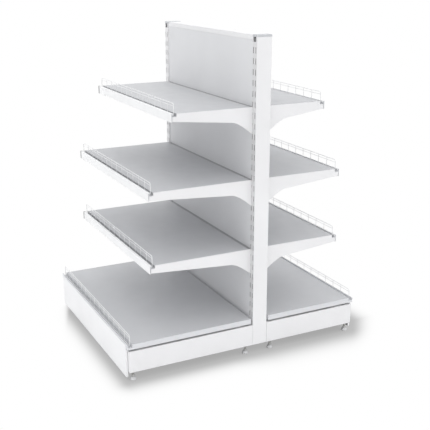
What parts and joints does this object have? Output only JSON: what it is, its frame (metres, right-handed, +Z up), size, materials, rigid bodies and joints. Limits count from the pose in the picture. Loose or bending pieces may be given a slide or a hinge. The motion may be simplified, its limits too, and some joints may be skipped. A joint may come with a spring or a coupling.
{
  "type": "gondola shelving",
  "caption": "Double-sided shop gondola: slotted uprights and back panels carry bracket shelves with wire fences and ticket strips on each face, over base decks on levelling feet.",
  "frame": {"origin": "on the floor, under the middle of the whole bay", "axes": "+Z up; +X along the bay towards its right-hand end; the deeper side faces -Y"},
  "size_m": [1.04, 1.28, 1.58],
  "materials": {
    "frame_white": "satin white powder coat on steel",
    "panel_white": "satin white powder coat on sheet steel",
    "tray_white": "satin white powder coat on sheet steel",
    "wire_white": "white powder coat on welded wire",
    "strip_white": "smooth white extruded plastic",
    "cap_grey": "matt grey moulded plastic",
    "foot_plastic": "matt pale moulded plastic on a screw"
  },
  "bodies": {
    "frame": {"upright_left": "frame_white", "cap_left": "cap_grey", "upright_right": "frame_white", "cap_right": "cap_grey", "rail_top": "frame_white", "rail_middle": "frame_white", "rail_bottom": "frame_white", "panel_deep": "panel_white", "panel_shallow": "panel_white", "leg_deep_left": "frame_white", "leg_deep_right": "frame_white", "bracket_deep_1_left": "frame_white", "bracket_deep_1_right": "frame_white", "bracket_deep_2_left": "frame_white", "bracket_deep_2_right": "frame_white", "bracket_deep_3_left": "frame_white", "bracket_deep_3_right": "frame_white", "leg_shallow_left": "frame_white", "leg_shallow_right": "frame_white", "bracket_shallow_1_left": "frame_white", "bracket_shallow_1_right": "frame_white", "bracket_shallow_2_left": "frame_white", "bracket_shallow_2_right": "frame_white", "bracket_shallow_3_left": "frame_white", "bracket_shallow_3_right": "frame_white"},
    "foot_deep_left_rear": {"foot_deep_left_rear": "foot_plastic"},
    "foot_deep_left_front": {"foot_deep_left_front": "foot_plastic"},
    "foot_deep_right_rear": {"foot_deep_right_rear": "foot_plastic"},
    "foot_deep_right_front": {"foot_deep_right_front": "foot_plastic"},
    "kick_deep": {"kick_deep": "tray_white"},
    "deck_deep": {"deck_deep": "tray_white"},
    "fence_deep_base": {"fence_deep_base": "wire_white"},
    "shelf_deep_1": {"shelf_deep_1": "tray_white", "strip_deep_1": "strip_white"},
    "fence_deep_1": {"fence_deep_1": "wire_white"},
    "shelf_deep_2": {"shelf_deep_2": "tray_white", "strip_deep_2": "strip_white"},
    "fence_deep_2": {"fence_deep_2": "wire_white"},
    "shelf_deep_3": {"shelf_deep_3": "tray_white", "strip_deep_3": "strip_white"},
    "fence_deep_3": {"fence_deep_3": "wire_white"},
    "foot_shallow_left_rear": {"foot_shallow_left_rear": "foot_plastic"},
    "foot_shallow_left_front": {"foot_shallow_left_front": "foot_plastic"},
    "foot_shallow_right_rear": {"foot_shallow_right_rear": "foot_plastic"},
    "foot_shallow_right_front": {"foot_shallow_right_front": "foot_plastic"},
    "kick_shallow": {"kick_shallow": "tray_white"},
    "deck_shallow": {"deck_shallow": "tray_white"},
    "fence_shallow_base": {"fence_shallow_base": "wire_white"},
    "shelf_shallow_1": {"shelf_shallow_1": "tray_white", "strip_shallow_1": "strip_white"},
    "fence_shallow_1": {"fence_shallow_1": "wire_white"},
    "shelf_shallow_2": {"shelf_shallow_2": "tray_white", "strip_shallow_2": "strip_white"},
    "fence_shallow_2": {"fence_shallow_2": "wire_white"},
    "shelf_shallow_3": {"shelf_shallow_3": "tray_white", "strip_shallow_3": "strip_white"},
    "fence_shallow_3": {"fence_shallow_3": "wire_white"}
  },
  "joints": [
    {"name": "foot_deep_left_rear_screw", "type": "slide", "parent": "frame", "child": "foot_deep_left_rear", "axis": [0, 0, 1], "range_m": [0, 0.02]},
    {"name": "foot_deep_left_front_screw", "type": "slide", "parent": "frame", "child": "foot_deep_left_front", "axis": [0, 0, 1], "range_m": [0, 0.02]},
    {"name": "foot_deep_right_rear_screw", "type": "slide", "parent": "frame", "child": "foot_deep_right_rear", "axis": [0, 0, 1], "range_m": [0, 0.02]},
    {"name": "foot_deep_right_front_screw", "type": "slide", "parent": "frame", "child": "foot_deep_right_front", "axis": [0, 0, 1], "range_m": [0, 0.02]},
    {"name": "kick_deep_pull", "type": "slide", "parent": "frame", "child": "kick_deep", "axis": [0, -1, 0], "range_m": [0, 0.04]},
    {"name": "deck_deep_lift", "type": "slide", "parent": "frame", "child": "deck_deep", "axis": [0, 0, 1], "range_m": [0, 0.1]},
    {"name": "fence_deep_base_lift", "type": "slide", "parent": "deck_deep", "child": "fence_deep_base", "axis": [0, 0, 1], "range_m": [0, 0.04]},
    {"name": "shelf_deep_1_lift", "type": "slide", "parent": "frame", "child": "shelf_deep_1", "axis": [0, 0, 1], "range_m": [0, 0.1]},
    {"name": "fence_deep_1_lift", "type": "slide", "parent": "shelf_deep_1", "child": "fence_deep_1", "axis": [0, 0, 1], "range_m": [0, 0.04]},
    {"name": "shelf_deep_2_lift", "type": "slide", "parent": "frame", "child": "shelf_deep_2", "axis": [0, 0, 1], "range_m": [0, 0.1]},
    {"name": "fence_deep_2_lift", "type": "slide", "parent": "shelf_deep_2", "child": "fence_deep_2", "axis": [0, 0, 1], "range_m": [0, 0.04]},
    {"name": "shelf_deep_3_lift", "type": "slide", "parent": "frame", "child": "shelf_deep_3", "axis": [0, 0, 1], "range_m": [0, 0.1]},
    {"name": "fence_deep_3_lift", "type": "slide", "parent": "shelf_deep_3", "child": "fence_deep_3", "axis": [0, 0, 1], "range_m": [0, 0.04]},
    {"name": "foot_shallow_left_rear_screw", "type": "slide", "parent": "frame", "child": "foot_shallow_left_rear", "axis": [0, 0, 1], "range_m": [0, 0.02]},
    {"name": "foot_shallow_left_front_screw", "type": "slide", "parent": "frame", "child": "foot_shallow_left_front", "axis": [0, 0, 1], "range_m": [0, 0.02]},
    {"name": "foot_shallow_right_rear_screw", "type": "slide", "parent": "frame", "child": "foot_shallow_right_rear", "axis": [0, 0, 1], "range_m": [0, 0.02]},
    {"name": "foot_shallow_right_front_screw", "type": "slide", "parent": "frame", "child": "foot_shallow_right_front", "axis": [0, 0, 1], "range_m": [0, 0.02]},
    {"name": "kick_shallow_pull", "type": "slide", "parent": "frame", "child": "kick_shallow", "axis": [0, 1, 0], "range_m": [0, 0.04]},
    {"name": "deck_shallow_lift", "type": "slide", "parent": "frame", "child": "deck_shallow", "axis": [0, 0, 1], "range_m": [0, 0.1]},
    {"name": "fence_shallow_base_lift", "type": "slide", "parent": "deck_shallow", "child": "fence_shallow_base", "axis": [0, 0, 1], "range_m": [0, 0.04]},
    {"name": "shelf_shallow_1_lift", "type": "slide", "parent": "frame", "child": "shelf_shallow_1", "axis": [0, 0, 1], "range_m": [0, 0.1]},
    {"name": "fence_shallow_1_lift", "type": "slide", "parent": "shelf_shallow_1", "child": "fence_shallow_1", "axis": [0, 0, 1], "range_m": [0, 0.04]},
    {"name": "shelf_shallow_2_lift", "type": "slide", "parent": "frame", "child": "shelf_shallow_2", "axis": [0, 0, 1], "range_m": [0, 0.1]},
    {"name": "fence_shallow_2_lift", "type": "slide", "parent": "shelf_shallow_2", "child": "fence_shallow_2", "axis": [0, 0, 1], "range_m": [0, 0.04]},
    {"name": "shelf_shallow_3_lift", "type": "slide", "parent": "frame", "child": "shelf_shallow_3", "axis": [0, 0, 1], "range_m": [0, 0.1]},
    {"name": "fence_shallow_3_lift", "type": "slide", "parent": "shelf_shallow_3", "child": "fence_shallow_3", "axis": [0, 0, 1], "range_m": [0, 0.04]}
  ]
}
